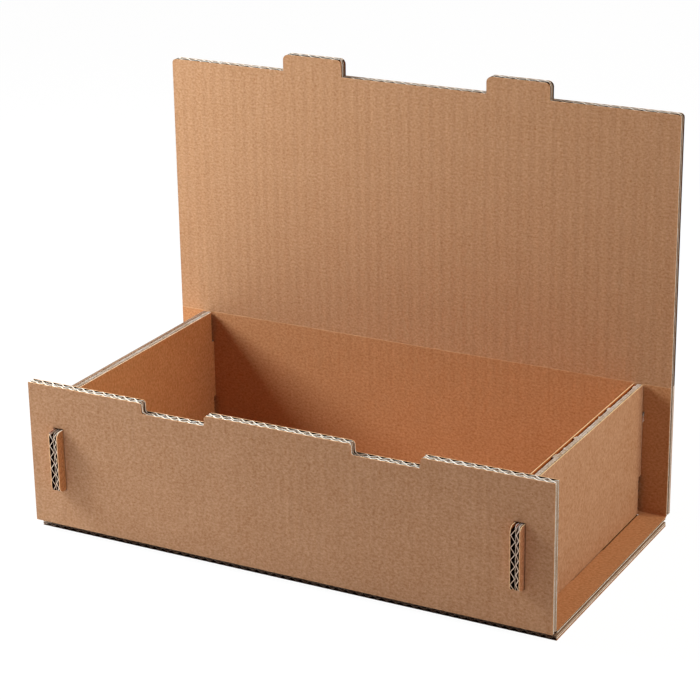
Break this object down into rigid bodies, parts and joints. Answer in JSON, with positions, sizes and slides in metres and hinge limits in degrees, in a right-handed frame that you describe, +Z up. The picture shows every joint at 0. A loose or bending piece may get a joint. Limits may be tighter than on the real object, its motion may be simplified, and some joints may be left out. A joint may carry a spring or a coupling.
{
  "type": "cardboard gift box",
  "caption": "Flat rectangular box of double-wall corrugated board: one folded sheet makes front, base, back and hinged lid, with end panels held by tabs in slots.",
  "frame": {"origin": "middle of the underside of the base", "axes": "+X along the front towards the right end, +Y from the front to the back, +Z up"},
  "size_m": [0.36, 0.2022, 0.2811],
  "materials": {
    "tray_board": "uncoated brown kraft liner",
    "lid_board": "uncoated brown kraft liner",
    "end_board": "uncoated brown kraft liner"
  },
  "bodies": {
    "tray": {"tray_sheet": "tray_board", "left_end_panel": "end_board", "right_end_panel": "end_board"},
    "lid": {"lid": "lid_board"}
  },
  "joints": [
    {"name": "lid_hinge", "type": "hinge", "parent": "tray", "child": "lid", "pos_m": [0, 0.088, 0.0946], "axis": [1, 0, 0], "range_deg": [0, 90]}
  ]
}
